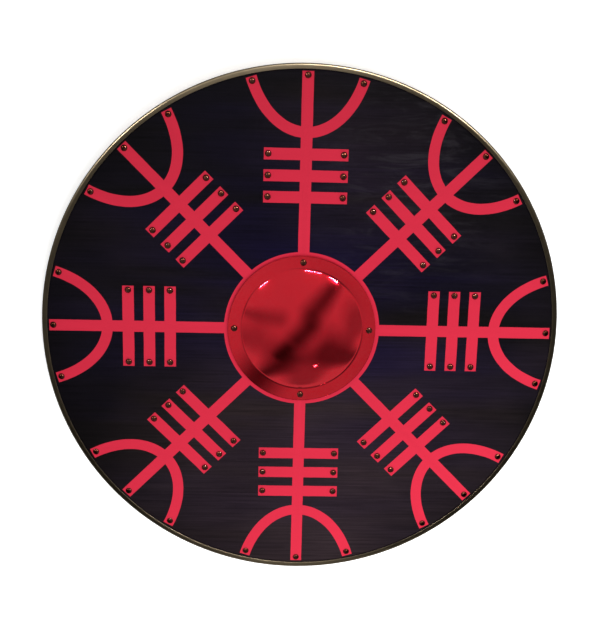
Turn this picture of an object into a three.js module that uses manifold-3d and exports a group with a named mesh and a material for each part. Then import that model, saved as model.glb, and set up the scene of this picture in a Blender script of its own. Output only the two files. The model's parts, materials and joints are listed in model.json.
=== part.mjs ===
// Round wooden shield with a folded steel rim, a domed boss, a wooden grip and dome-headed nails.
// It lies on its back, face up. Millimetres, +Z up.
// The origin is on the shield's axis, at the underside of the rim.

import * as THREE from "three";
import * as BufferGeometryUtils from "three/addons/utils/BufferGeometryUtils.js";
import Module from "manifold-3d";

const wasm = await Module();
wasm.setup();

const degree = Math.PI / 180;

// Whole shield
const shieldDiameter = 610;
const boardThickness = 12;
const fitGap = 0.3;

// Rim: a steel channel folded over the edge of the board
const rimSheet = 1.2;
const rimFace = 6.5;
const rimCorner = 1.2;
const rimSides = 72;

// Hand hole through the board, behind the boss
const handHoleDiameter = 124;
const handHoleSides = 48;

// Boss: a spun metal dome with a flat flange that covers the hand hole
const bossFootDiameter = 147;
const bossFlangeWidth = 13.8;
const bossSheet = 1.6;
const bossFilletRadius = 5;
const bossShoulderRadius = 8;
const bossWallSlope = 36 * degree;
const bossCrownSlope = 32 * degree;
const bossSides = 40;
const bossArcSteps = 3;
const bossCrownSteps = 4;

// Grip: a wooden bar across the hand hole, let into the back of the board. The boss nails at its
// two ends go into it.
const gripPastNail = 15.2;
const gripWidth = 26;
const gripThickness = 15;
const gripLapThickness = 7;
const gripRise = 20;
const gripRiseClearance = 3;
const gripRounding = 3;
const gripCurveSteps = 3;
const gripRoundingSteps = 1;

// Nails with domed heads
const nailHeadDiameter = 7.5;
const nailHeadHeight = 2.4;
const nailShankDiameter = 2.4;
const nailPoint = 3;
const nailSides = 8;
const nailDomeSteps = 2;
const fusedHeadSink = 0.2;

// Nails that hold the boss
const bossNailCount = 4;
const bossNailInset = 7.5;
const bossNailLength = 12.5;

// Nails of the painted figure: eight arms, each with crossbars, a stem and a fork at the rim
const armCount = 8;
const barsPerArm = 3;
const barSpacing = 24.45;
const outerBarInset = 94.4;
const barNailSpan = 86.6;
const barNailLength = 10.5;
const stemNailInset = 6.7;
const forkNailInset = 14.6;
const forkNailSpan = 125.4;

// Levels and radii that follow from the sizes above
const shieldRadius = shieldDiameter / 2;
const rimInnerRadius = shieldRadius - rimFace;
const boardRadius = shieldRadius - rimSheet - fitGap;
const boardBack = rimSheet + fitGap;
const boardFront = boardBack + boardThickness;
const rimHeight = boardFront + fitGap + rimSheet;
const handHoleRadius = handHoleDiameter / 2;
const bossFootRadius = bossFootDiameter / 2;
const bossRadius = bossFootRadius + bossFlangeWidth;
const bossNailRadius = bossRadius - bossNailInset;
const gripHalfLength = bossNailRadius + gripPastNail;
const flangeBottom = boardFront + fitGap;
const flangeTop = flangeBottom + bossSheet;

// A material of its own for each piece
function finish(colour, roughness, metalness) {
  return new THREE.MeshStandardMaterial({ color: colour, roughness, metalness });
}

const finishes = {
  board: () => finish(0x14131f, 0.55, 0),
  rim: () => finish(0x6f6d60, 0.35, 1),
  boss: () => finish(0xb3142c, 0.18, 0.9),
  grip: () => finish(0x8a6a45, 0.7, 0),
  nail: () => finish(0x5a4426, 0.3, 1),
};

// A profile of [radius, height] pairs turned about +Z
function turned(profile, sides) {
  const points = profile.map(([radius, height]) => new THREE.Vector2(radius, height));
  return new THREE.LatheGeometry(points, sides).rotateX(Math.PI / 2);
}

// A plain round bar along +Z, from a low level to a high level
function roundBar(radius, low, high, sides) {
  const bar = new THREE.CylinderGeometry(radius, radius, high - low, sides);
  return bar.rotateX(Math.PI / 2).translate(0, 0, (low + high) / 2);
}

// Closed geometry as a solid for boolean work
function toSolid(geometry) {
  const bare = geometry.clone();
  bare.deleteAttribute("normal");
  bare.deleteAttribute("uv");
  const merged = BufferGeometryUtils.mergeVertices(bare, 1e-4);
  const mesh = new wasm.Mesh({
    numProp: 3,
    vertProperties: new Float32Array(merged.attributes.position.array),
    triVerts: new Uint32Array(merged.index.array),
  });
  return new wasm.Manifold(mesh);
}

function toGeometry(solid) {
  const mesh = solid.getMesh();
  const geometry = new THREE.BufferGeometry();
  geometry.setAttribute("position", new THREE.BufferAttribute(mesh.vertProperties, 3));
  geometry.setIndex(new THREE.BufferAttribute(mesh.triVerts, 1));
  geometry.computeVertexNormals();
  return geometry;
}

function cut(geometry, tools) {
  let solid = toSolid(geometry);
  for (const tool of tools) {
    solid = solid.subtract(toSolid(tool));
  }
  return toGeometry(solid);
}

function named(name, geometry, material) {
  const mesh = new THREE.Mesh(geometry, material);
  mesh.name = name;
  return mesh;
}

// A place along and across one of several like arms, which are spaced round the axis from +X
function aroundAxis(count, index, along, across) {
  const place = new THREE.Vector2(along, across);
  place.rotateAround(new THREE.Vector2(0, 0), (index * 2 * Math.PI) / count);
  return place;
}

function barNailPlaces() {
  const places = [];
  for (let arm = 0; arm < armCount; arm += 1) {
    for (let bar = 0; bar < barsPerArm; bar += 1) {
      const along = rimInnerRadius - outerBarInset - bar * barSpacing;
      for (const [side, name] of [[-1, "right"], [1, "left"]]) {
        places.push({
          name: `arm_${arm + 1}_bar_${bar + 1}_nail_${name}`,
          at: aroundAxis(armCount, arm, along, (side * barNailSpan) / 2),
        });
      }
    }
  }
  return places;
}

function bossNailPlaces() {
  const places = [];
  for (let nail = 0; nail < bossNailCount; nail += 1) {
    places.push({
      name: `boss_nail_${nail + 1}`,
      at: aroundAxis(bossNailCount, nail, bossNailRadius, 0),
    });
  }
  return places;
}

function tipNailPlaces() {
  const places = [];
  for (let arm = 0; arm < armCount; arm += 1) {
    places.push(aroundAxis(armCount, arm, rimInnerRadius - stemNailInset, 0));
    for (const side of [-1, 1]) {
      const along = rimInnerRadius - forkNailInset;
      places.push(aroundAxis(armCount, arm, along, (side * forkNailSpan) / 2));
    }
  }
  return places;
}

// Domed head of a nail as [radius, height] pairs, from the edge of its seat to the top
function headProfile(seat) {
  const radius = nailHeadDiameter / 2;
  const ball = (radius ** 2 + nailHeadHeight ** 2) / (2 * nailHeadHeight);
  const halfAngle = Math.atan2(radius, ball - nailHeadHeight);
  const profile = [];
  for (let step = 0; step <= nailDomeSteps; step += 1) {
    const angle = halfAngle * (1 - step / nailDomeSteps);
    const height = seat + nailHeadHeight - ball * (1 - Math.cos(angle));
    profile.push([ball * Math.sin(angle), height]);
  }
  return profile;
}

function nailGeometry(seat, length) {
  const shank = nailShankDiameter / 2;
  const profile = [
    [0, seat - length],
    [shank, seat - length + nailPoint],
    [shank, seat],
    ...headProfile(seat),
  ];
  return turned(profile, nailSides);
}

// The hole that a nail of this length leaves below its seat
function nailHole(at, seat, length) {
  const radius = nailShankDiameter / 2 + fitGap;
  const tool = roundBar(radius, seat - length - fitGap, seat + fitGap, nailSides);
  return tool.translate(at.x, at.y, 0);
}

const barNailSeat = boardFront + fitGap;
const bossNailSeat = flangeTop + fitGap;
const bossNailHoles = bossNailPlaces().map(({ at }) => nailHole(at, bossNailSeat, bossNailLength));

// Board with its hand hole, the housing for the grip, the nail holes, and the heads of the tip
// nails, which sit on its face as one with it
function boardMesh() {
  const through = [boardBack - fitGap, boardFront + fitGap];
  const handHole = roundBar(handHoleRadius, ...through, handHoleSides);
  let solid = toSolid(roundBar(boardRadius, boardBack, boardFront, rimSides));
  for (const tool of [handHole, gripHousing(), ...bossNailHoles]) {
    solid = solid.subtract(toSolid(tool));
  }
  for (const { at } of barNailPlaces()) {
    solid = solid.subtract(toSolid(nailHole(at, barNailSeat, barNailLength)));
  }
  const seat = boardFront - fusedHeadSink;
  for (const at of tipNailPlaces()) {
    const head = turned([[0, seat], ...headProfile(seat)], nailSides);
    solid = solid.add(toSolid(head.translate(at.x, at.y, 0)));
  }
  return named("board", toGeometry(solid), finishes.board());
}

// Steel channel: an outer wall with one leg over the face and one under the back
function rimMesh() {
  const outer = shieldRadius;
  const section = [
    [rimInnerRadius, 0],
    [outer - rimCorner, 0],
    [outer, rimCorner],
    [outer, rimHeight - rimCorner],
    [outer - rimCorner, rimHeight],
    [rimInnerRadius, rimHeight],
    [rimInnerRadius, rimHeight - rimSheet],
    [outer - rimSheet, rimHeight - rimSheet],
    [outer - rimSheet, rimSheet],
    [rimInnerRadius, rimSheet],
    [rimInnerRadius, 0],
  ];
  return named("rim", turned(section, rimSides), finishes.rim());
}

// One skin of the boss from the inner edge of its flange up to the axis, at a depth below the
// outer skin: a fillet, a shoulder and a crown, each meeting the next without a corner
function bossSkin(depth) {
  const skin = [];
  const arc = (centre, radius, from, to, steps, bulge) => {
    for (let step = 0; step <= steps; step += 1) {
      const angle = from + ((to - from) * step) / steps;
      const across = centre.x + bulge * radius * Math.sin(angle);
      skin.push([across, centre.y + bulge * radius * Math.cos(angle)]);
    }
  };
  const direction = (angle) => new THREE.Vector2(Math.sin(angle), Math.cos(angle));
  const filletCentre = new THREE.Vector2(bossFootRadius, flangeTop + bossFilletRadius);
  const wall = filletCentre.clone().addScaledVector(direction(bossWallSlope), -bossFilletRadius);
  const shoulderCentre = wall.clone().addScaledVector(direction(bossWallSlope), -bossShoulderRadius);
  const edge = shoulderCentre.clone().addScaledVector(direction(bossCrownSlope), bossShoulderRadius);
  const crownRadius = edge.x / Math.sin(bossCrownSlope);
  const crownCentre = new THREE.Vector2(0, edge.y - crownRadius * Math.cos(bossCrownSlope));
  arc(filletCentre, bossFilletRadius + depth, 0, bossWallSlope, bossArcSteps, -1);
  skin.pop();
  arc(shoulderCentre, bossShoulderRadius - depth, bossWallSlope, bossCrownSlope, bossArcSteps, 1);
  skin.pop();
  arc(crownCentre, crownRadius - depth, bossCrownSlope, 0, bossCrownSteps, 1);
  return skin;
}

function bossMesh() {
  const profile = [
    ...bossSkin(bossSheet).reverse(),
    [bossRadius, flangeBottom],
    [bossRadius, flangeTop],
    ...bossSkin(0),
  ];
  return named("boss", cut(turned(profile, bossSides), bossNailHoles), finishes.boss());
}

// Side outline of the grip: thin laps at both ends, swelling to the full thickness between them
function gripMesh() {
  const end = gripHalfLength;
  const halfOpening = Math.sqrt(handHoleRadius ** 2 - (gripWidth / 2) ** 2);
  const riseStart = halfOpening - gripRiseClearance;
  const riseEnd = riseStart - gripRise;
  const bend = (riseStart + riseEnd) / 2;
  const lap = boardBack + gripLapThickness;
  const top = boardBack + gripThickness;
  const outline = new THREE.Shape();
  outline.moveTo(-end, boardBack);
  outline.lineTo(end, boardBack);
  outline.lineTo(end, lap);
  outline.lineTo(riseStart, lap);
  outline.bezierCurveTo(bend, lap, bend, top, riseEnd, top);
  outline.lineTo(-riseEnd, top);
  outline.bezierCurveTo(-bend, top, -bend, lap, -riseStart, lap);
  outline.lineTo(-end, lap);
  const bar = new THREE.ExtrudeGeometry(outline, {
    depth: gripWidth - 2 * gripRounding,
    curveSegments: gripCurveSteps,
    bevelSize: gripRounding,
    bevelThickness: gripRounding,
    bevelOffset: -gripRounding,
    bevelSegments: gripRoundingSteps,
  });
  bar.translate(0, 0, gripRounding - gripWidth / 2).rotateX(Math.PI / 2);
  return named("grip", cut(bar, bossNailHoles), finishes.grip());
}

// The slot across the back of the board that takes the grip's laps
function gripHousing() {
  const top = boardBack + gripLapThickness + fitGap;
  const bottom = boardBack - fitGap;
  const length = 2 * (gripHalfLength + fitGap);
  const slot = new THREE.BoxGeometry(length, gripWidth + 2 * fitGap, top - bottom);
  return slot.translate(0, 0, (top + bottom) / 2);
}

function nailMesh({ name, at }, seat, length) {
  const nail = named(name, nailGeometry(seat, length), finishes.nail());
  nail.position.set(at.x, at.y, 0);
  return nail;
}

const shield = new THREE.Group();
shield.add(boardMesh(), rimMesh(), bossMesh(), gripMesh());
for (const place of bossNailPlaces()) {
  shield.add(nailMesh(place, bossNailSeat, bossNailLength));
}
for (const place of barNailPlaces()) {
  shield.add(nailMesh(place, barNailSeat, barNailLength));
}

export default shield;
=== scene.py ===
"""Round wooden shield: painted board, folded steel rim, red lacquered boss, wooden grip and nails.

Metres, in the frame of the packed solids: the shield lies on its back at z = 0, face up.
"""

import json
import math
import random

import bmesh
import bpy
from mathutils import Matrix, Vector

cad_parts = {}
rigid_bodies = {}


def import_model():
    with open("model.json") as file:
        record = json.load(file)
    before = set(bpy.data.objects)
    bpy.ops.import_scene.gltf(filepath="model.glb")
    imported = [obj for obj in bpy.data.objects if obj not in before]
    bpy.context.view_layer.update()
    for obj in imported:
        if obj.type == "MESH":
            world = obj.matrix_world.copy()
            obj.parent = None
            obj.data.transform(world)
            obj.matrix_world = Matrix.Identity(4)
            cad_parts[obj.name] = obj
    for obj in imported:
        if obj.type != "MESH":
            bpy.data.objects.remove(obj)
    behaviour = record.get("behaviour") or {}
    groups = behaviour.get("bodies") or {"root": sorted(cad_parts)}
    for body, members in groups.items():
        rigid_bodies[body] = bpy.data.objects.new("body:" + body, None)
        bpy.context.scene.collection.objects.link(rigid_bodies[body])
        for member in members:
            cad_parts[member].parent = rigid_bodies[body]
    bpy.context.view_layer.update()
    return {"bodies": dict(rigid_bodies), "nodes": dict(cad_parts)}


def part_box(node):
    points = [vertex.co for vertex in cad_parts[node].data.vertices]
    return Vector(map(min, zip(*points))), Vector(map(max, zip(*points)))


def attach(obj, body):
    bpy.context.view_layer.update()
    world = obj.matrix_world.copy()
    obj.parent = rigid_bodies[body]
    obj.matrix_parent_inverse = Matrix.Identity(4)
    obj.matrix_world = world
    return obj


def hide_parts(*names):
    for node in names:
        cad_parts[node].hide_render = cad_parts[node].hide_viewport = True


bl_info = {
    "name": "Round Painted Shield",
    "version": (1, 0, 0),
    "blender": (4, 5, 0),
    "location": "3D View > Sidebar > Shield",
    "description": "Makes a painted round shield with a steel rim, a red boss, a grip and nails",
    "category": "Add Mesh",
}

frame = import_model()

MM = 0.001
FIT_GAP = 0.3 * MM
ARMS = 8
ARM_STEP = 2 * math.pi / ARMS

SHIELD_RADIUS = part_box("rim")[1].x
RIM_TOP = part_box("rim")[1].z
BOARD_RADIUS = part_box("board")[1].x
BOARD_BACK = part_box("board")[0].z
FLANGE_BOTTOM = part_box("boss")[0].z
BOARD_FRONT = FLANGE_BOTTOM - FIT_GAP
BOSS_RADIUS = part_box("boss")[1].x
GRIP_LOW, GRIP_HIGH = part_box("grip")
NAIL_NODES = sorted(name for name in frame["nodes"] if "nail" in name)


# Settings


def length(name, default, description):
    """A size in metres that a user can change."""
    return bpy.props.FloatProperty(
        name=name,
        description=description,
        default=default,
        min=0,
        precision=4,
        subtype="DISTANCE",
        unit="LENGTH",
    )


def turn(name, degrees, description):
    """An angle that a user can change."""
    return bpy.props.FloatProperty(
        name=name,
        description=description,
        default=math.radians(degrees),
        subtype="ANGLE",
        unit="ROTATION",
    )


def share(name, default, description):
    """A plain number from 0 to 1."""
    return bpy.props.FloatProperty(
        name=name, description=description, default=default, min=0, max=1, subtype="FACTOR"
    )


def colour(name, default, description):
    """A colour, in linear red, green and blue."""
    return bpy.props.FloatVectorProperty(
        name=name, description=description, default=default, size=3, min=0, subtype="COLOR"
    )


class BoardSettings(bpy.types.PropertyGroup):
    """The wooden board and its paint."""

    hand_hole: length("Hand Hole", 124 * MM, "Diameter of the hole behind the boss")
    edge_rounding: length("Edge Rounding", 2.6 * MM, "Rounding of the edge inside the rim")
    hole_rounding: length("Hole Rounding", 1.2 * MM, "Rounding of the hand hole's edges")
    lap_depth: length("Grip Housing", 7.3 * MM, "Depth of the slot that takes the grip")
    blue: colour("Blue Black", (0.0042, 0.0026, 0.0185), "Bluer bands of the ground paint")
    black: colour("Brown Black", (0.0034, 0.0026, 0.0030), "Darker bands of the ground paint")
    # Lighter ground paint, used as painted sheen in two soft pools and for lighter patches at
    # random
    sheen: colour("Sheen Black", (0.0210, 0.0134, 0.0150), "Ground paint where it has faded")
    red: colour("Red", (0.455, 0.018, 0.040), "Paint of the figure")
    # Lighter ground paint for the painted sheen streaks
    shining: colour("Shining Black", (0.040, 0.036, 0.042), "Ground paint where it is scuffed")
    wood: colour("Stained Wood", (0.035, 0.022, 0.016), "Stained wood of the back and the edges")


class FigureSettings(bpy.types.PropertyGroup):
    """The painted figure of eight arms."""

    disc: length("Centre Disc", 183.8 * MM, "Diameter of the painted disc round the boss")
    stem_width: length("Stem Width", 13.3 * MM, "Width of each stem")
    stem_end: length("Stem End", 296.2 * MM, "Distance of each stem's end from the centre")
    bar_width: length("Crossbar Width", 13.4 * MM, "Width of each crossbar")
    bar_half_length: length("Crossbar Reach", 48.3 * MM, "Reach of a crossbar to each side")
    bar_middle: length("Middle Crossbar", 179.6 * MM, "Distance of the middle crossbar")
    bar_spacing: length("Crossbar Spacing", 24.45 * MM, "Distance between two crossbars")
    fork_width: length("Fork Width", 12.5 * MM, "Width of the curved fork")
    fork_centre: length("Fork Centre", 330.9 * MM, "Distance of the centre of the fork's ellipse")
    fork_depth: length("Fork Depth", 102.35 * MM, "Half axis of that ellipse along the arm")
    fork_reach: length("Fork Reach", 70.25 * MM, "Half axis of that ellipse across the arm")
    fork_end: turn("Fork End", 65.6, "Angle of the fork's ends on that ellipse")
    edge: length("Paint Edge", 0.35 * MM, "Width over which the paint's edge fades")


class RimSettings(bpy.types.PropertyGroup):
    """The folded steel rim."""

    sheet: length("Sheet", 1.2 * MM, "Thickness of the steel")
    face: length("Face", 6.5 * MM, "How far the rim laps over the face")
    fold: length("Fold", 3.2 * MM, "Outer radius of the two folds")
    lip: length("Lip", 0.4 * MM, "Rounding of the lips on the board")
    steel: colour("Steel", (0.28, 0.22, 0.140), "Aged steel")


class BossSettings(bpy.types.PropertyGroup):
    """The spun and lacquered boss."""

    foot: length("Foot", 147 * MM, "Diameter at which the dome leaves the flange")
    sheet: length("Sheet", 1.6 * MM, "Thickness of the metal")
    fillet: length("Fillet", 5 * MM, "Hollow radius at the foot")
    shoulder: length("Shoulder", 8 * MM, "Radius of the shoulder above the wall")
    wall_slope: turn("Wall Slope", 36, "Steepest slope of the wall")
    crown_slope: turn("Crown Slope", 32, "Slope at the edge of the crown")
    edge: length("Edge", 0.25 * MM, "Rounding of the cut edge")
    lacquer: colour("Lacquer", (0.54, 0.006, 0.017), "Red lacquer over bright metal")


class GripSettings(bpy.types.PropertyGroup):
    """The wooden grip."""

    lap: length("Lap", 7 * MM, "Thickness of the ends in the board")
    rise_start: length("Rise Start", 57.6 * MM, "Distance of the lap's end from the middle")
    rise: length("Rise", 20 * MM, "Length over which the grip swells")
    waist: length("Waist", 2 * MM, "How much slimmer the neck is on each side")
    rounding: length("Rounding", 3 * MM, "Rounding of the edges")
    wood: colour("Oiled Wood", (0.30, 0.165, 0.075), "Oiled wood")


class NailSettings(bpy.types.PropertyGroup):
    """The dome-headed nails."""

    head: length("Head", 7.5 * MM, "Diameter of the head")
    dome: length("Dome", 2.4 * MM, "Height of the head")
    shank: length("Shank", 2.4 * MM, "Diameter of the shank")
    point: length("Point", 3 * MM, "Length of the point")
    tip_length: length("Tip Nail", 10.5 * MM, "Length under the head of the nails at the tips")
    stem_place: length("Stem Nail", 291.8 * MM, "Distance of the nail at a stem's end")
    fork_along: length("Fork Nail Along", 283.9 * MM, "Place of a fork's nail along the arm")
    fork_across: length("Fork Nail Across", 62.7 * MM, "Place of a fork's nail across the arm")
    lean: turn("Lean", 2.2, "How far a nail may lean")
    brass: colour("Dark Brass", (0.085, 0.020, 0.009), "Aged brass")


class StageSettings(bpy.types.PropertyGroup):
    """The floor, the lights and the camera."""

    floor: colour("Floor", (0.97, 0.97, 0.97), "Pale floor")
    glow: share("Floor Glow", 0.3, "How much light the floor gives, to soften shadows")
    sky: share("Sky", 0.85, "Brightness of the soft light from above")
    lens: bpy.props.FloatProperty(
        name="Lens", description="Focal length", default=52.66, subtype="DISTANCE_CAMERA"
    )


SETTINGS = {
    "shield_board": BoardSettings,
    "shield_figure": FigureSettings,
    "shield_rim": RimSettings,
    "shield_boss": BossSettings,
    "shield_grip": GripSettings,
    "shield_nails": NailSettings,
    "shield_stage": StageSettings,
}


# Modelling


def start(name, add, stretch=(1, 1, 1), **settings):
    """Adds one primitive, alone in the selection, with its place in its mesh."""
    if bpy.context.mode != "OBJECT":
        bpy.ops.object.mode_set(mode="OBJECT")
    bpy.ops.object.select_all(action="DESELECT")
    add(**settings)
    piece = bpy.context.object
    piece.name = piece.data.name = name
    piece.scale = stretch
    bpy.ops.object.transform_apply(location=True, rotation=True, scale=True)
    return piece


def edit(piece):
    """Edit mode on this piece alone."""
    if bpy.context.mode != "OBJECT":
        bpy.ops.object.mode_set(mode="OBJECT")
    bpy.ops.object.select_all(action="DESELECT")
    piece.select_set(True)
    bpy.context.view_layer.objects.active = piece
    bpy.ops.object.mode_set(mode="EDIT")


def pick(piece, kind, test):
    """Selects only the vertices, edges or faces that pass a test."""
    bpy.ops.mesh.select_mode(type=kind)
    bpy.ops.mesh.select_all(action="DESELECT")
    mesh = bmesh.from_edit_mesh(piece.data)
    items = {"VERT": mesh.verts, "EDGE": mesh.edges, "FACE": mesh.faces}[kind]
    for item in items:
        if test(item):
            item.select_set(True)
    mesh.select_flush_mode()
    bmesh.update_edit_mesh(piece.data)


def close(piece, angle=30):
    """Merges doubles, turns the faces outward and shades the piece smooth up to an angle."""
    if bpy.context.mode != "EDIT_MESH":
        edit(piece)
    bpy.ops.mesh.select_all(action="SELECT")
    bpy.ops.mesh.remove_doubles(threshold=0.002 * MM)
    bpy.ops.mesh.normals_make_consistent(inside=False)
    bpy.ops.object.mode_set(mode="OBJECT")
    bpy.ops.object.shade_smooth_by_angle(angle=math.radians(angle))


def modify(piece, kind, **settings):
    """Adds one modifier and applies it."""
    bpy.ops.object.mode_set(mode="OBJECT")
    bpy.ops.object.select_all(action="DESELECT")
    piece.select_set(True)
    bpy.context.view_layer.objects.active = piece
    modifier = piece.modifiers.new(kind.title(), kind)
    for key, value in settings.items():
        setattr(modifier, key, value)
    bpy.ops.object.modifier_apply(modifier=modifier.name)


def carve(piece, cutters):
    """Takes the shapes of the cutters out of the piece."""
    bpy.ops.object.select_all(action="DESELECT")
    for cutter in cutters:
        cutter.select_set(True)
    bpy.context.view_layer.objects.active = cutters[0]
    if len(cutters) > 1:
        bpy.ops.object.join()
    tool = cutters[0]
    modify(piece, "BOOLEAN", operation="DIFFERENCE", solver="EXACT", object=tool)
    bpy.data.objects.remove(tool)


def drill(places, radius, low, high):
    """Round cutters along +Z at the given places."""
    return [
        start(
            "drill",
            bpy.ops.mesh.primitive_cylinder_add,
            vertices=16,
            radius=radius,
            depth=high - low,
            location=(x, y, (low + high) / 2),
        )
        for x, y in places
    ]


def raise_rings(profile):
    """Extrudes the selected ring through (radius, height) pairs, and closes it at radius 0."""
    for (radius, height), (next_radius, next_height) in zip(profile, profile[1:]):
        rise = {"value": (0, 0, next_height - height)}
        bpy.ops.mesh.extrude_edges_move(TRANSFORM_OT_translate=rise)
        if next_radius == 0:
            bpy.ops.mesh.merge(type="CENTER")
            return
        grow = next_radius / radius
        bpy.ops.transform.resize(value=(grow, grow, 1), center_override=(0, 0, next_height))


def arc(centre, radius, first, last, steps):
    """Points on an arc, with angles measured from straight up towards the outside."""
    points = []
    for step in range(steps + 1):
        angle = first + (last - first) * step / steps
        across = centre[0] + radius * math.sin(angle)
        points.append((max(across, 0), centre[1] + radius * math.cos(angle)))
    return points


def around(index, along, across):
    """A place along and across one of the eight arms."""
    angle = index * ARM_STEP
    return (
        along * math.cos(angle) - across * math.sin(angle),
        along * math.sin(angle) + across * math.cos(angle),
    )


def middle(node):
    """The axis of an upright solid, from above."""
    low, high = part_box(node)
    return ((low.x + high.x) / 2, (low.y + high.y) / 2)


def hand_over(piece, material, slot, *nodes):
    """Gives a finished piece its material and its place in the frame."""
    piece.data.materials.clear()
    piece.data.materials.append(material)
    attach(piece, BODY)
    if nodes:
        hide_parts(*nodes)


BODY = next(iter(frame["bodies"]))


# Materials


class Signal:
    """A number that varies over a surface. Arithmetic on it adds Math nodes."""

    def __init__(self, finish, socket):
        self.finish = finish
        self.socket = socket

    def math(self, operation, *values, clamp=False):
        settings = {"operation": operation, "use_clamp": clamp}
        values = dict(enumerate(values))
        return Signal(self.finish, self.finish.node("ShaderNodeMath", settings, values).outputs[0])

    def __add__(self, other):
        return self.math("ADD", self, other)

    def __radd__(self, other):
        return self.math("ADD", other, self)

    def __sub__(self, other):
        return self.math("SUBTRACT", self, other)

    def __rsub__(self, other):
        return self.math("SUBTRACT", other, self)

    def __mul__(self, other):
        return self.math("MULTIPLY", self, other)

    def __rmul__(self, other):
        return self.math("MULTIPLY", other, self)

    def __truediv__(self, other):
        return self.math("DIVIDE", self, other)

    def __abs__(self):
        return self.math("ABSOLUTE", self)

    def root(self):
        return self.math("SQRT", self)

    def lower(self, other):
        return self.math("MINIMUM", self, other)

    def higher(self, other):
        return self.math("MAXIMUM", self, other)

    def held(self):
        return self.math("ADD", self, 0, clamp=True)

    def eased(self):
        """A signal from 0 to 1 with soft ends."""
        return self * self * (3 - 2 * self)

    def under(self, limit, fade):
        """1 where the signal is under the limit and 0 above it, over the width of the fade."""
        return ((limit - self) / fade + 0.5).held()

    def over(self, limit, fade):
        """1 where the signal is over the limit and 0 under it, over the width of the fade."""
        return ((self - limit) / fade + 0.5).held()


class Finish:
    """One material and its nodes."""

    def __init__(self, name):
        self.material = bpy.data.materials.new(name)
        self.material.use_nodes = True
        self.nodes = self.material.node_tree.nodes
        self.links = self.material.node_tree.links
        self.shader = self.nodes["Principled BSDF"]
        self.place = self.node("ShaderNodeTexCoord").outputs["Object"]

    def node(self, kind, settings=None, values=None):
        """Adds a node: its settings first, then the values or links of its sockets."""
        node = self.nodes.new(kind)
        for key, value in (settings or {}).items():
            setattr(node, key, value)
        for key, value in (values or {}).items():
            self.feed(node, key, value)
        return node

    def feed(self, node, key, value):
        """Links or sets one input."""
        if isinstance(value, Signal):
            value = value.socket
        if isinstance(value, bpy.types.NodeSocket):
            self.links.new(value, node.inputs[key])
        else:
            node.inputs[key].default_value = value

    def coordinates(self):
        """The place on the piece, as three signals in metres."""
        node = self.node("ShaderNodeSeparateXYZ", None, {"Vector": self.place})
        return [Signal(self, node.outputs[axis]) for axis in "XYZ"]

    def point(self, x, y, z):
        """A place made of three signals."""
        node = self.node("ShaderNodeCombineXYZ", None, {"X": x, "Y": y, "Z": z})
        return node.outputs[0]

    def scaled(self, factors):
        """The place on the piece with each axis scaled."""
        settings = {"operation": "MULTIPLY"}
        return self.node("ShaderNodeVectorMath", settings, {0: self.place, 1: factors}).outputs[0]

    def noise(self, place, scale=1, detail=3, roughness=0.5, distortion=0):
        """A noise from 0 to 1 with its middle at 0.5."""
        values = {
            "Vector": place,
            "Scale": scale,
            "Detail": detail,
            "Roughness": roughness,
            "Distortion": distortion,
        }
        return Signal(self, self.node("ShaderNodeTexNoise", None, values).outputs["Fac"])

    def blend(self, factor, first, second):
        """A colour between two colours."""
        values = {0: factor, 6: solid(first), 7: solid(second)}
        return self.node("ShaderNodeMix", {"data_type": "RGBA"}, values).outputs[2]

    def tint(self, base, factor):
        """A colour made lighter or darker by a signal."""
        if not isinstance(base, bpy.types.NodeSocket):
            base = tuple(base)
        settings = {"operation": "SCALE"}
        node = self.node("ShaderNodeVectorMath", settings, {0: base, "Scale": factor})
        return node.outputs[0]

    def bump(self, height, depth):
        """Relief of a height signal, with its depth in metres."""
        values = {"Height": height, "Distance": depth, "Strength": 1}
        self.feed(self.shader, "Normal", self.node("ShaderNodeBump", None, values).outputs[0])

    def set(self, **values):
        """Sets or links the shader's own sockets."""
        for key, value in values.items():
            self.feed(self.shader, key.replace("_", " "), value)


def distance(x, y):
    """The distance from the point where two signals are both 0."""
    return (x * x + y * y).root()


def solid(value):
    """A stored colour as the four numbers that a colour socket takes."""
    if isinstance(value, (Signal, bpy.types.NodeSocket)):
        return value
    return (*value, 1)


def figure_mask(finish, x, y, sizes):
    """1 on the painted figure and 0 beside it. One arm is drawn and folded onto all eight."""
    edge = sizes.edge
    radius = distance(x, y)
    angle = x.math("ARCTAN2", y, x)
    nearest = x.math("ROUND", angle / ARM_STEP) * ARM_STEP
    aside = angle - nearest
    along = radius * x.math("COSINE", aside)
    across = abs(radius * x.math("SINE", aside))

    stem = across.under(sizes.stem_width / 2, edge).lower(along.under(sizes.stem_end, edge))
    from_middle = abs(along - sizes.bar_middle)
    from_bar = from_middle.lower(abs(from_middle - sizes.bar_spacing))
    bars = from_bar.under(sizes.bar_width / 2, edge)
    bars = bars.lower(across.under(sizes.bar_half_length, edge))

    depth = (sizes.fork_centre - along) / sizes.fork_depth
    reach = across / sizes.fork_reach
    level = distance(depth, reach)
    steepness = distance(depth / sizes.fork_depth, reach / sizes.fork_reach) / level
    from_fork = abs(level - 1) / steepness
    end_along = sizes.fork_centre - sizes.fork_depth * math.cos(sizes.fork_end)
    end_across = sizes.fork_reach * math.sin(sizes.fork_end)
    onward = Vector(
        (sizes.fork_depth * math.sin(sizes.fork_end), sizes.fork_reach * math.cos(sizes.fork_end))
    ).normalized()
    past_end = (along - end_along) * onward.x + (across - end_across) * onward.y
    fork = from_fork.under(sizes.fork_width / 2, edge).lower(past_end.under(0, edge))

    disc = radius.under(sizes.disc / 2, edge)
    return stem.higher(bars).higher(fork).higher(disc)


# Middles of the two soft pools of painted sheen on the ground paint, and of the painted sheen
# streaks
SHEEN_POOL_NEAR = Vector((0.01, -0.19))
SHEEN_POOL_FAR = Vector((0.07, 0.20))
SHEEN_STREAKS = Vector((0.125, 0.185))


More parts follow.
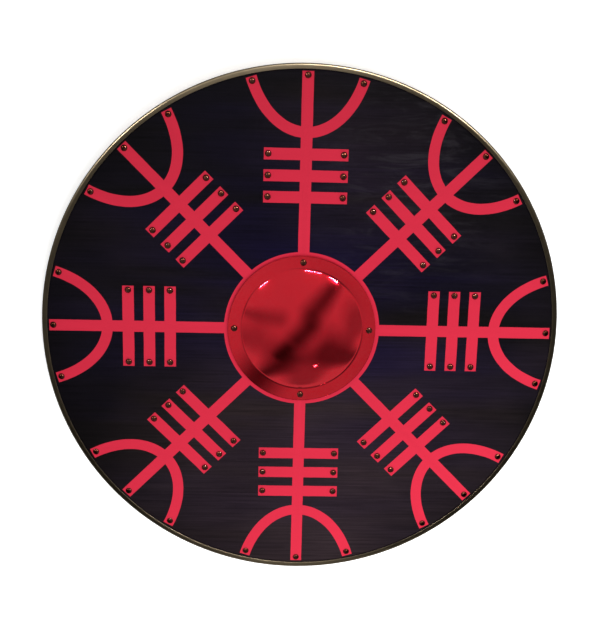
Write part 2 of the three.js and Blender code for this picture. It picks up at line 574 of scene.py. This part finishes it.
def board_material(board, figure):
    """Blue-black paint on wood with the flat red figure, and stained wood behind."""
    finish = Finish("painted_wood")
    x, y, z = finish.coordinates()
    radius = distance(x, y)

    grain = finish.noise(finish.scaled((9, 520, 160)), detail=4, roughness=0.6)
    fine_grain = finish.noise(finish.scaled((30, 1900, 400)), detail=2)
    bands = finish.noise(finish.scaled((2.2, 15, 1)), detail=2, distortion=0.4)
    cloud = finish.noise(finish.scaled((5, 7, 1)), detail=3)
    brush = finish.noise(finish.scaled((14, 150, 1)), detail=3, roughness=0.6)

    inner = radius.under(0.19, 0.24)
    blueness = ((bands - 0.36) * 3.2 * (0.15 + 0.85 * inner)).held()
    # Painted sheen: the ground paint turns lighter in two soft pools, near and far, mixed with
    # lighter patches at random
    from_near = distance(x - SHEEN_POOL_NEAR.x, y - SHEEN_POOL_NEAR.y)
    from_far = distance(x - SHEEN_POOL_FAR.x, y - SHEEN_POOL_FAR.y)
    sheen_and_mottle = ((0.285 - from_near) / 0.22).held() + ((0.16 - from_far) / 0.36).held()
    sheen_and_mottle = (sheen_and_mottle + 0.8 * (cloud - 0.5) + 0.5 * (bands - 0.5)).held()
    ground = finish.blend(0.8 * sheen_and_mottle, board.black, board.sheen)
    ground = finish.blend(blueness * (1 - 0.45 * sheen_and_mottle), ground, board.blue)
    ground = finish.tint(ground, (1.4 * grain + 0.9 * fine_grain + 0.9 * cloud - 0.6).higher(0.3))
    # Painted sheen: faint lighter streaks on the ground paint at the upper right
    across, up = x - SHEEN_STREAKS.x, y - SHEEN_STREAKS.y
    beside = (across * across + up * up * 0.5).root()
    streaks = finish.noise(finish.scaled((16, 70, 1)), detail=4, roughness=0.7, distortion=1.2)
    sheen_streaks = (streaks.over(0.55, 0.2) * beside.under(0.08, 0.16)).eased()
    ground = finish.blend(0.25 * sheen_streaks, ground, board.shining)

    red = finish.tint(board.red, 0.9 + 0.13 * cloud + 0.08 * brush)
    wobble = (finish.noise(finish.scaled((60, 60, 1)), detail=2) - 0.5) * (0.5 * MM)
    painted = figure_mask(finish, x + wobble, y + wobble, figure)
    face = finish.blend(painted, ground, red)

    front = z.over(BOARD_FRONT - 0.6 * MM, 0.2 * MM)
    stained = finish.tint(board.wood, 0.35 + 0.9 * grain + 0.35 * fine_grain)
    finish.set(Base_Color=finish.blend(front, stained, face))
    finish.set(Roughness=(0.6 + 0.16 * (brush - 0.5) - 0.06 * painted).held())
    finish.set(Specular_IOR_Level=0.025)
    relief = 0.5 * grain + 0.35 * fine_grain + 0.3 * brush + 0.12 * painted
    finish.bump(relief, 0.12 * MM)
    return finish.material


def rim_material(rim):
    """Aged steel, brushed along the rim."""
    finish = Finish("aged_steel")
    x, y, z = finish.coordinates()
    radius = distance(x, y)
    along = finish.point(x / radius * 9, y / radius * 9, (radius + z) * 2600)
    brushed = finish.noise(along, detail=3, roughness=0.6)
    stain = finish.noise(finish.scaled((32, 32, 90)), detail=4, roughness=0.6)
    mottle = finish.noise(finish.scaled((240, 240, 240)), detail=2)
    finish.set(Base_Color=finish.tint(rim.steel, 0.62 + 0.55 * stain))
    finish.set(Metallic=1.0)
    finish.set(Roughness=(0.3 + 0.2 * (brushed - 0.5) + 0.14 * (mottle - 0.3)).held())
    finish.bump(0.6 * brushed + 0.5 * mottle, 0.05 * MM)
    return finish.material


def boss_material(boss):
    """Clear red lacquer over spun bright metal."""
    finish = Finish("red_lacquer")
    x, y, _ = finish.coordinates()
    radius = distance(x, y)
    cloud = finish.noise(finish.scaled((22, 22, 22)), detail=3)
    turned = finish.noise(finish.point(x / radius * 2, y / radius * 2, radius * 900), detail=2)
    specks = finish.noise(finish.scaled((900, 900, 900)), detail=1)
    dust = specks.over(0.74, 0.05)
    finish.set(Base_Color=finish.tint(boss.lacquer, 0.92 + 0.16 * cloud))
    finish.set(Metallic=1.0)
    finish.set(Roughness=(0.065 + 0.03 * (cloud - 0.5) + 0.02 * (turned - 0.5) + 0.2 * dust).held())
    finish.set(Coat_Weight=0.35, Coat_Roughness=0.03, Coat_IOR=1.5)
    finish.bump(0.3 * turned + 0.2 * dust, 0.006 * MM)
    return finish.material


def grip_material(grip):
    """Oiled wood with its grain along the grip."""
    finish = Finish("oiled_wood")
    rings = finish.noise(finish.scaled((9, 150, 190)), detail=4, roughness=0.55, distortion=0.6)
    pores = finish.noise(finish.scaled((60, 1900, 1900)), detail=2)
    dark = rings.over(0.52, 0.3)
    colour = finish.blend(dark, grip.wood, tuple(0.55 * part for part in grip.wood))
    finish.set(Base_Color=finish.tint(colour, 0.78 + 0.4 * pores))
    finish.set(Roughness=(0.56 + 0.2 * (pores - 0.5)).held())
    finish.bump(0.7 * pores + 0.3 * rings, 0.12 * MM)
    return finish.material


def nail_material(nails):
    """Aged brass, with darker and lighter stains at random."""
    finish = Finish("dark_brass")
    stain = finish.noise(finish.scaled((260, 260, 260)), detail=3)
    marks = finish.noise(finish.scaled((900, 900, 900)), detail=2)
    finish.set(Base_Color=finish.tint(nails.brass, 0.5 + 0.8 * stain))
    finish.set(Metallic=1.0)
    finish.set(Roughness=(0.17 + 0.12 * (marks - 0.4)).held())
    finish.set(Coat_Weight=0.3, Coat_Roughness=0.06)
    finish.bump(marks, 0.008 * MM)
    return finish.material


# Pieces


class SHIELD_OT_board(bpy.types.Operator):
    """Make the painted board with its hand hole and the housing for the grip"""

    bl_idname = "shield.board"
    bl_label = "Make Board"

    def execute(self, context):
        board = context.scene.shield_board
        nails = context.scene.shield_nails
        piece = start(
            "painted_board",
            bpy.ops.mesh.primitive_cylinder_add,
            vertices=288,
            radius=BOARD_RADIUS,
            depth=BOARD_FRONT - BOARD_BACK,
            location=(0, 0, (BOARD_FRONT + BOARD_BACK) / 2),
        )
        edit(piece)
        pick(piece, "FACE", lambda face: abs(face.normal.z) > 0.9)
        hole = board.hand_hole / 2
        bpy.ops.mesh.inset(thickness=BOARD_RADIUS - hole)
        pick(piece, "FACE", lambda face: len(face.verts) > 4)
        bpy.ops.mesh.bridge_edge_loops()

        pick(piece, "EDGE", lambda edge: is_ring(edge, BOARD_RADIUS))
        bpy.ops.mesh.bevel(offset=board.edge_rounding, segments=4)
        pick(piece, "EDGE", lambda edge: is_ring(edge, hole))
        bpy.ops.mesh.bevel(offset=board.hole_rounding, segments=3)
        bpy.ops.object.mode_set(mode="OBJECT")

        housing = start(
            "housing",
            bpy.ops.mesh.primitive_cube_add,
            size=1,
            location=(0, 0, BOARD_BACK + board.lap_depth / 2 - FIT_GAP),
            stretch=(
                GRIP_HIGH.x - GRIP_LOW.x + 2 * FIT_GAP,
                GRIP_HIGH.y - GRIP_LOW.y + 2 * FIT_GAP,
                board.lap_depth + 2 * FIT_GAP,
            ),
        )
        carve(piece, [housing])
        bore = nails.shank / 2 + FIT_GAP
        bottom = min(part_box(name)[0].z for name in NAIL_NODES) - FIT_GAP
        places = [middle(name) for name in NAIL_NODES]
        places += [place for _, place in tip_places(nails)]
        carve(piece, drill(places, bore, bottom, BOARD_FRONT + 1 * MM))
        close(piece)
        material = board_material(board, context.scene.shield_figure)
        hand_over(piece, material, "painted_board", "board")
        return {"FINISHED"}


class SHIELD_OT_rim(bpy.types.Operator):
    """Make the folded steel rim"""

    bl_idname = "shield.rim"
    bl_label = "Make Rim"

    def execute(self, context):
        rim = context.scene.shield_rim
        inner = SHIELD_RADIUS - rim.face
        piece = start(
            "steel_rim",
            bpy.ops.mesh.primitive_plane_add,
            size=1,
            location=((inner + SHIELD_RADIUS) / 2, 0, RIM_TOP / 2),
            rotation=(math.pi / 2, 0, 0),
            stretch=(rim.face, RIM_TOP, 1),
        )
        edit(piece)
        bpy.ops.mesh.inset(thickness=rim.sheet)
        inside = SHIELD_RADIUS - rim.sheet

        def hollow(face):
            centre = face.calc_center_median()
            return centre.x < inside and rim.sheet < centre.z < RIM_TOP - rim.sheet

        pick(piece, "FACE", hollow)
        bpy.ops.mesh.delete(type="FACE")
        bpy.ops.mesh.select_all(action="SELECT")
        bpy.ops.mesh.dissolve_faces()
        pick(piece, "VERT", lambda vertex: abs(vertex.co.x - inner - rim.sheet) < 0.1 * MM)
        bpy.ops.transform.translate(value=(-rim.sheet, 0, 0))
        roundings = (
            (SHIELD_RADIUS, rim.fold, 8),
            (inside, rim.fold - rim.sheet, 8),
            (inner, rim.lip, 3),
        )
        for distance, radius, segments in roundings:
            pick(piece, "VERT", lambda vertex: abs(vertex.co.x - distance) < 0.01 * MM)
            bpy.ops.mesh.bevel(offset=radius, segments=segments, affect="VERTICES")
        bpy.ops.mesh.select_all(action="SELECT")
        bpy.ops.mesh.delete(type="ONLY_FACE")
        bpy.ops.mesh.select_all(action="SELECT")
        bpy.ops.mesh.spin(steps=288, angle=2 * math.pi, center=(0, 0, 0), axis=(0, 0, 1))
        close(piece)
        hand_over(piece, rim_material(rim), "rim_steel", "rim")
        return {"FINISHED"}


class SHIELD_OT_boss(bpy.types.Operator):
    """Make the domed boss with its flange"""

    bl_idname = "shield.boss"
    bl_label = "Make Boss"

    def execute(self, context):
        boss = context.scene.shield_boss
        nails = context.scene.shield_nails
        top = FLANGE_BOTTOM + boss.sheet
        piece = start(
            "lacquered_boss",
            bpy.ops.mesh.primitive_circle_add,
            vertices=192,
            radius=BOSS_RADIUS,
            location=(0, 0, top),
        )
        edit(piece)
        flat = [(BOSS_RADIUS, top), (BOSS_RADIUS - 0.7 * MM, top), (boss.foot / 2 + 1 * MM, top)]
        raise_rings([*flat, *boss_skin(boss, top)])
        bpy.ops.mesh.select_all(action="SELECT")
        bpy.ops.mesh.normals_make_consistent(inside=False)
        face_up(piece)
        modify(piece, "SOLIDIFY", thickness=boss.sheet, offset=-1, use_even_offset=True)
        places = [middle(name) for name in NAIL_NODES if name.startswith("boss")]
        bore = nails.shank / 2 + FIT_GAP
        carve(piece, drill(places, bore, FLANGE_BOTTOM - 1 * MM, top + 1 * MM))
        modify(
            piece,
            "BEVEL",
            width=boss.edge,
            segments=2,
            limit_method="ANGLE",
            angle_limit=math.radians(50),
        )
        close(piece, 40)
        hand_over(piece, boss_material(boss), "red_boss", "boss")
        return {"FINISHED"}


def is_ring(edge, radius):
    """Whether an edge lies level on a circle of this radius."""
    ends = [vertex.co for vertex in edge.verts]
    level = abs(ends[0].z - ends[1].z) < 0.01 * MM
    return level and all(abs(end.xy.length - radius) < 1 * MM for end in ends)


def face_up(piece):
    """Turns an open sheet so that its faces look up, as an open sheet has no outside."""
    mesh = bmesh.from_edit_mesh(piece.data)
    if sum(face.normal.z * face.calc_area() for face in mesh.faces) < 0:
        bpy.ops.mesh.flip_normals()


def boss_skin(boss, top):
    """The outer skin from the foot to the middle: a fillet, a shoulder and a crown."""
    wall, crown = boss.wall_slope, boss.crown_slope
    foot = boss.foot / 2
    fillet_centre = (foot, top + boss.fillet)
    reach = boss.fillet + boss.shoulder
    shoulder_centre = (
        fillet_centre[0] - reach * math.sin(wall),
        fillet_centre[1] - reach * math.cos(wall),
    )
    edge = arc(shoulder_centre, boss.shoulder, crown, crown, 1)[0]
    radius = edge[0] / math.sin(crown)
    crown_centre = (0, edge[1] - radius * math.cos(crown))
    return [
        *arc(fillet_centre, boss.fillet, math.pi, math.pi + wall, 10),
        *arc(shoulder_centre, boss.shoulder, wall, crown, 8)[1:],
        *arc(crown_centre, radius, crown, 0, 24)[1:],
    ]


class SHIELD_OT_grip(bpy.types.Operator):
    """Make the wooden grip across the hand hole"""

    bl_idname = "shield.grip"
    bl_label = "Make Grip"

    def execute(self, context):
        grip = context.scene.shield_grip
        nails = context.scene.shield_nails
        width = GRIP_HIGH.y - GRIP_LOW.y
        lap_top = BOARD_BACK + grip.lap
        piece = start(
            "wooden_grip",
            bpy.ops.mesh.primitive_cube_add,
            size=1,
            location=(0, 0, (BOARD_BACK + lap_top) / 2),
            stretch=(GRIP_HIGH.x - GRIP_LOW.x, width, grip.lap),
        )
        edit(piece)
        steps = 8
        stations = [grip.rise_start - grip.rise * step / steps for step in range(steps + 1)]
        stations += [0.5 * stations[-1], 0]
        for station in sorted({side * x for x in stations for side in (-1, 1)}):
            bpy.ops.mesh.select_all(action="SELECT")
            bpy.ops.mesh.bisect(plane_co=(station, 0, 0), plane_no=(1, 0, 0))
        swell = GRIP_HIGH.z - lap_top
        for station in stations:
            climb = min((grip.rise_start - station) / grip.rise, 1)
            lift = swell * climb * climb * (3 - 2 * climb)
            slim = 1 - 2 * grip.waist / width * math.sin(math.pi * climb) ** 2
            pick(piece, "VERT", lambda vertex: is_at(vertex, station, lap_top - 0.1 * MM))
            bpy.ops.transform.translate(value=(0, 0, lift))
            pick(piece, "VERT", lambda vertex: is_at(vertex, station, 0))
            bpy.ops.transform.resize(value=(1, slim, 1), center_override=(0, 0, 0))
        bpy.ops.object.mode_set(mode="OBJECT")
        modify(
            piece,
            "BEVEL",
            width=grip.rounding,
            segments=5,
            limit_method="ANGLE",
            angle_limit=math.radians(50),
        )
        names = ("boss_nail_1", "boss_nail_3")
        places = [middle(name) for name in names]
        bore = nails.shank / 2 + FIT_GAP
        carve(piece, drill(places, bore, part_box(names[0])[0].z - FIT_GAP, lap_top + 1 * MM))
        close(piece, 35)
        hand_over(piece, grip_material(grip), "grip_wood", "grip")
        return {"FINISHED"}


def is_at(vertex, station, low):
    """Whether a vertex lies at this distance to either side of the middle, above a height."""
    return abs(abs(vertex.co.x) - station) < 0.01 * MM and vertex.co.z > low


def tip_places(nails):
    """Name and place of each nail at the ends of the stems and forks."""
    places = []
    for arm in range(ARMS):
        places.append((f"arm_{arm + 1}_stem_tip_nail", around(arm, nails.stem_place, 0)))
        for side, name in ((-1, "right"), (1, "left")):
            place = around(arm, nails.fork_along, side * nails.fork_across)
            places.append((f"arm_{arm + 1}_fork_tip_nail_{name}", place))
    return places


def nail_shape(nails, under_head):
    """One nail with its seat at the origin."""
    head, shank = nails.head / 2, nails.shank / 2
    ball = (head**2 + nails.dome**2) / (2 * nails.dome)
    half = math.atan2(head, ball - nails.dome)
    piece = start(
        "nail",
        bpy.ops.mesh.primitive_circle_add,
        vertices=24,
        radius=shank,
        location=(0, 0, nails.point - under_head),
    )
    edit(piece)
    raise_rings([(shank, nails.point - under_head), (0, -under_head)])
    pick(piece, "VERT", lambda vertex: vertex.co.xy.length > shank / 2)
    dome = arc((0, nails.dome - ball), ball, half, 0, 7)
    raise_rings([(shank, nails.point - under_head), (shank, 0), (head, 0), *dome[1:]])
    close(piece, 50)
    return piece


class SHIELD_OT_nails(bpy.types.Operator):
    """Make all the dome-headed nails"""

    bl_idname = "shield.nails"
    bl_label = "Make Nails"

    def execute(self, context):
        nails = context.scene.shield_nails
        material = nail_material(nails)
        chance = random.Random(11)
        rows = []
        for node in NAIL_NODES:
            low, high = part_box(node)
            seat = high.z - nails.dome
            rows.append((f"domed_{node}", middle(node), seat, seat - low.z, (node,)))
        seat = BOARD_FRONT + 0.05 * MM
        for name, place in tip_places(nails):
            rows.append((f"domed_{name}", place, seat, nails.tip_length, ()))
        shapes = {}
        for name, place, seat, under_head, nodes in rows:
            key = round(under_head / MM, 2)
            if key not in shapes:
                shapes[key] = nail_shape(nails, under_head)
            piece = set_nail(shapes[key], name, place, seat, nails.lean, chance)
            hand_over(piece, material, "nail_brass", *nodes)
        for shape in shapes.values():
            bpy.data.objects.remove(shape)
        return {"FINISHED"}


def set_nail(shape, name, place, seat, lean, chance):
    """A copy of a nail in its place, turned and leaning a little by chance."""
    bpy.ops.object.select_all(action="DESELECT")
    shape.select_set(True)
    bpy.context.view_layer.objects.active = shape
    bpy.ops.object.duplicate(linked=False)
    piece = bpy.context.object
    piece.name = piece.data.name = name
    spin = chance.uniform(0, 2 * math.pi)
    tip = chance.uniform(0, lean)
    piece.rotation_euler = (tip * math.cos(spin), tip * math.sin(spin), spin)
    piece.location = (*place, seat)
    bpy.ops.object.transform_apply(location=True, rotation=True, scale=True)
    return piece


# Stage


def lamp(name, kind, place, aim, power, **settings):
    """A light that looks at a point."""
    light = bpy.data.lights.new(name, kind)
    light.energy = power
    for key, value in settings.items():
        setattr(light, key, value)
    holder = bpy.data.objects.new(name, light)
    bpy.context.scene.collection.objects.link(holder)
    holder.location = place
    away = Vector(place) - Vector(aim)
    holder.rotation_euler = away.to_track_quat("Z", "Y").to_euler()
    return holder


# Soft panels that light the floor and the paint: name, place, power, width and depth
PANELS = (("near_panel", (0.36, -0.54, 0.64), 11.2, 1.2, 0.8),)

# Narrow lamps that only metal and lacquer show: name, direction from above, distance, length
# and power
LAMPS = (
    ("lamp_left", 138, 1.25, 0.26, 9),
    ("lamp_back", 76, 1.25, 0.42, 16),
    ("lamp_right", 50, 1.25, 0.24, 12),
    ("lamp_near", -71, 1.02, 0.06, 0.15),
)
LAMP_HEIGHT = 0.74
LAMP_WIDTH = 0.025

# Levels over the shield, which only metal and lacquer show, with soft dark shapes. Each shape has
# the two ends of a line, half its width, its fade and its darkness
LOW_LEVEL = 0.15
LOW_SHADES = (
    ((0.030, -0.005), (-0.010, -0.050), 0.034, 0.066, 0.86),
    ((-0.045, -0.089), (-0.085, -0.140), 0.026, 0.050, 0.86),
    ((0.098, -0.010), (0.095, -0.080), 0.028, 0.060, 0.15),
)
HIGH_LEVEL = 1.2
HIGH_SHADES = (
    ((-0.300, -1.060), (-2.300, -4.100), 0.460, 0.900, 0.88),
    ((0.300, 0.200), (1.500, 1.500), 0.240, 0.480, 0.80),
    ((0.800, -1.000), (3.200, -2.600), 0.600, 0.900, 0.80),
    ((0.300, -2.200), (0.300, -4.500), 0.900, 1.200, 0.50),
    ((2.200, -0.300), (4.000, 0.000), 0.900, 1.200, 0.48),
    ((-2.400, 0.150), (-0.500, 0.050), 0.180, 0.400, 0.45),
    ((-3.000, -1.200), (-1.300, -0.700), 0.600, 1.200, 0.42),
)
RIM_LEVEL = 0.03
UNDER_LEVEL = -0.002
# The levels glow faintly grey: a painted glow that keeps their dark shapes in reflections from
# going fully black
DARK_GREY = (0.022, 0.022, 0.022, 1)

# The camera's place, what it looks at and its roll. Heights are over the board's face
EYE = Vector((-41.512, 241.114, 1067.494)) * MM
AIM = Vector((-2.409, 15.819, 0)) * MM
ROLL = math.radians(1.467)


def hang_level(name, height, reach):
    """A level disc that only reflections see, with its finish."""
    level = start(
        name,
        bpy.ops.mesh.primitive_circle_add,
        vertices=64,
        radius=reach,
        fill_type="NGON",
        location=(0, 0, height),
    )
    level.visible_camera = level.visible_diffuse = level.visible_shadow = False
    finish = Finish(name)
    finish.set(Base_Color=(0, 0, 0, 1), Specular_IOR_Level=0.0)
    # Painted glow: the level gives off a faint grey light of its own
    finish.set(Emission_Color=DARK_GREY, Emission_Strength=1.0)
    level.data.materials.append(finish.material)
    return finish


def shade(name, height, reach, shapes):
    """A level with soft dark shapes."""
    finish = hang_level(name, height, reach)
    x, y, _ = finish.coordinates()
    clear = 1.0
    for first, last, width, fade, darkness in shapes:
        line = Vector(last) - Vector(first)
        from_x, from_y = x - first[0], y - first[1]
        along = ((from_x * line.x + from_y * line.y) / line.length_squared).held()
        beside = distance(from_x - along * line.x, from_y - along * line.y)
        clear = (1 - darkness * beside.under(width, fade).eased()) * clear
    finish.set(Alpha=1 - clear)


def shade_rim():
    """A low level over the rim alone, dark to both sides."""
    finish = hang_level("rim_level", RIM_LEVEL, 0.6)
    x, y, _ = finish.coordinates()
    radius = distance(x, y)
    left = (x / radius * -1).over(0.40, 0.9).eased()
    right = (x / radius).over(0.25, 0.8).eased()
    near = (y / radius * -1).over(0.45, 0.9).eased()
    dark = radius.over(0.284, 0.01) * (0.90 * left + 0.98 * right + 0.2 * near).held()
    finish.set(Alpha=dark)


def shade_floor():
    """A dark level in the floor's place, open to the light beside the rim's near side."""
    finish = hang_level("under_level", UNDER_LEVEL, 6)
    x, y, _ = finish.coordinates()
    radius = distance(x, y)
    near = (y / radius * -1).over(0.35, 0.9).eased()
    finish.set(Alpha=1 - 0.6 * near * radius.over(0.31, 0.01))


class SHIELD_OT_stage(bpy.types.Operator):
    """Make the floor, the lights and the camera"""

    bl_idname = "shield.stage"
    bl_label = "Make Stage"

    def execute(self, context):
        stage = context.scene.shield_stage
        scene = context.scene
        floor = start("floor", bpy.ops.mesh.primitive_plane_add, size=12)
        finish = Finish("pale_floor")
        finish.set(Base_Color=solid(stage.floor), Roughness=0.9, Specular_IOR_Level=0.1)
        finish.set(Emission_Color=solid(stage.floor), Emission_Strength=stage.glow)
        floor.data.materials.append(finish.material)

        world = bpy.data.worlds.new("soft_room")
        scene.world = world
        world.use_nodes = True
        background = world.node_tree.nodes["Background"]
        background.inputs["Color"].default_value = (1.0, 1.0, 1.0, 1)
        background.inputs["Strength"].default_value = stage.sky

        centre = (0, 0, 0.02)
        for name, place, power, wide, deep in PANELS:
            shape = {"shape": "RECTANGLE", "size": wide, "size_y": deep}
            panel = lamp(name, "AREA", place, centre, power, **shape)
            panel.visible_glossy = False
        for name, azimuth, reach, wide, power in LAMPS:
            angle = math.radians(azimuth)
            place = (reach * math.cos(angle), reach * math.sin(angle), LAMP_HEIGHT)
            shape = {"shape": "RECTANGLE", "size": wide, "size_y": LAMP_WIDTH}
            strip = lamp(name, "AREA", place, centre, power, **shape)
            strip.visible_diffuse = False
        shade("low_level", LOW_LEVEL, 1.2, LOW_SHADES)
        shade("high_level", HIGH_LEVEL, 6, HIGH_SHADES)
        shade_rim()
        shade_floor()
        floor.visible_glossy = False

        face = Vector((0, 0, BOARD_FRONT))
        camera_data = bpy.data.cameras.new("camera")
        camera_data.lens = stage.lens
        camera_data.sensor_width = 36
        camera_data.clip_start = 0.01
        camera = bpy.data.objects.new("camera", camera_data)
        scene.collection.objects.link(camera)
        back = (EYE - AIM).normalized()
        right = Vector((0, 1, 0)).cross(back).normalized()
        up = back.cross(right)
        turned = Matrix((right, up, back)).transposed() @ Matrix.Rotation(ROLL, 3, "Z")
        camera.matrix_world = Matrix.Translation(EYE + face) @ turned.to_4x4()
        scene.camera = camera
        scene.view_settings.view_transform = "Standard"
        return {"FINISHED"}


class SHIELD_PT_sidebar(bpy.types.Panel):
    """The shield's settings and its pieces"""

    bl_idname = "SHIELD_PT_sidebar"
    bl_label = "Round Shield"
    bl_space_type = "VIEW_3D"
    bl_region_type = "UI"
    bl_category = "Shield"

    def draw(self, context):
        for group, settings in SETTINGS.items():
            box = self.layout.box()
            box.label(text=settings.__doc__)
            for key in settings.__annotations__:
                box.prop(getattr(context.scene, group), key)
        for operator in OPERATORS:
            self.layout.operator(operator.bl_idname)


OPERATORS = (
    SHIELD_OT_board,
    SHIELD_OT_rim,
    SHIELD_OT_boss,
    SHIELD_OT_grip,
    SHIELD_OT_nails,
    SHIELD_OT_stage,
)


def register():
    for group, settings in SETTINGS.items():
        bpy.utils.register_class(settings)
        setattr(bpy.types.Scene, group, bpy.props.PointerProperty(type=settings))
    for operator in OPERATORS:
        bpy.utils.register_class(operator)
    bpy.utils.register_class(SHIELD_PT_sidebar)


def unregister():
    bpy.utils.unregister_class(SHIELD_PT_sidebar)
    for operator in reversed(OPERATORS):
        bpy.utils.unregister_class(operator)
    for group, settings in reversed(SETTINGS.items()):
        delattr(bpy.types.Scene, group)
        bpy.utils.unregister_class(settings)


def main():
    """Makes the whole shield and its stage."""
    register()
    bpy.ops.shield.board()
    bpy.ops.shield.rim()
    bpy.ops.shield.boss()
    bpy.ops.shield.grip()
    bpy.ops.shield.nails()
    bpy.ops.shield.stage()


if __name__ == "__main__":
    main()
